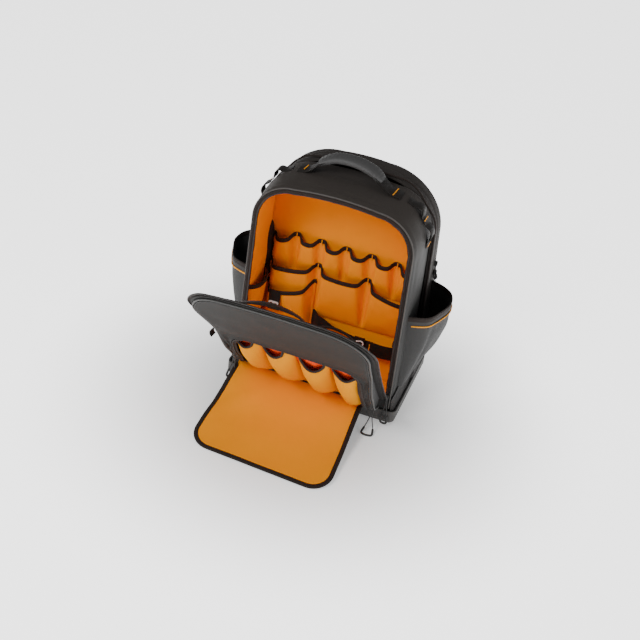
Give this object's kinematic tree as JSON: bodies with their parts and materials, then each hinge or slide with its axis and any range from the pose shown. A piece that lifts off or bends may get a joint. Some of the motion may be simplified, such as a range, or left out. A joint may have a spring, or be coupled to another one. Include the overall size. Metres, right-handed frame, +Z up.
{
  "type": "tool backpack",
  "caption": "Tool backpack standing on a moulded base, with its front door and front pocket flap open on an orange lining.",
  "frame": {"origin": "centre of the base footprint of the main body at its flat bottom", "axes": "+X to the right for a viewer facing the open front, +Y toward the wearer, +Z up"},
  "size_m": [0.4802, 0.5406, 0.5178],
  "materials": {
    "shell_cloth": "coated dark grey woven cloth",
    "rear_cloth": "matt dark padded cloth",
    "guard_cloth": "dark coarse cloth",
    "orange_lining": "smooth bright orange nylon",
    "red_cloth": "red-orange nylon",
    "dark_binding": "ribbed dark binding tape",
    "black_webbing": "woven black webbing",
    "orange_piping": "orange corded piping",
    "grey_piping": "light grey corded piping",
    "base_rubber": "moulded matt rubber",
    "grip_rubber": "soft moulded grip",
    "buckle_plastic": "matt black plastic",
    "pull_cord": "plastic sleeved cord",
    "plain_metal": "plain light metal"
  },
  "bodies": {
    "root": {"outer_shell": "shell_cloth", "main_lining": "orange_lining", "rear_wall_lining": "orange_lining", "opening_zip_tape": "dark_binding", "opening_piping": "dark_binding", "front_sill": "shell_cloth", "rear_section_shell": "rear_cloth", "back_panel": "rear_cloth", "groove_piping": "dark_binding", "base_boot": "base_rubber", "side_guard_left": "guard_cloth", "side_guard_right": "guard_cloth", "side_pocket_right": "shell_cloth", "side_pocket_binding_right": "dark_binding", "side_pocket_piping_right": "orange_piping", "side_pocket_left": "shell_cloth", "side_pocket_binding_left": "dark_binding", "side_pocket_piping_left": "orange_piping", "upper_pocket_row": "orange_lining", "upper_row_binding": "dark_binding", "middle_pocket_row": "orange_lining", "middle_row_binding": "dark_binding", "lower_pocket_row": "orange_lining", "lower_row_binding": "dark_binding", "plate_tab": "black_webbing", "plate_tab_metal": "plain_metal", "tape_band": "black_webbing", "clip_tab": "black_webbing", "snap_clip": "plain_metal", "left_wall_pocket": "orange_lining", "right_wall_pocket": "orange_lining", "door_lining": "orange_lining", "door_flange": "shell_cloth", "door_gusset": "shell_cloth", "door_edge_piping": "grey_piping", "door_front_panel": "shell_cloth", "pocket_zip_tape": "dark_binding", "pocket_backing": "orange_lining", "pouch_lining": "red_cloth", "pouch_a": "orange_lining", "pouch_b": "orange_lining", "pouch_c": "orange_lining", "pouch_d": "orange_lining", "door_inner_loop": "black_webbing", "door_inner_pocket": "orange_lining", "door_side_tab": "black_webbing", "flap_binding": "dark_binding", "flap_lining": "orange_lining", "flap_outer": "shell_cloth", "handle_webbing": "black_webbing", "handle_grip": "grip_rubber", "side_loops_left": "black_webbing", "side_loops_right": "black_webbing", "shoulder_strap_left": "rear_cloth", "strap_buckle_left": "buckle_plastic", "shoulder_strap_right": "rear_cloth", "strap_buckle_right": "buckle_plastic", "pocket_pull_right": "pull_cord", "pocket_pull_left": "pull_cord", "main_pull_right": "pull_cord"}
  },
  "joints": []
}
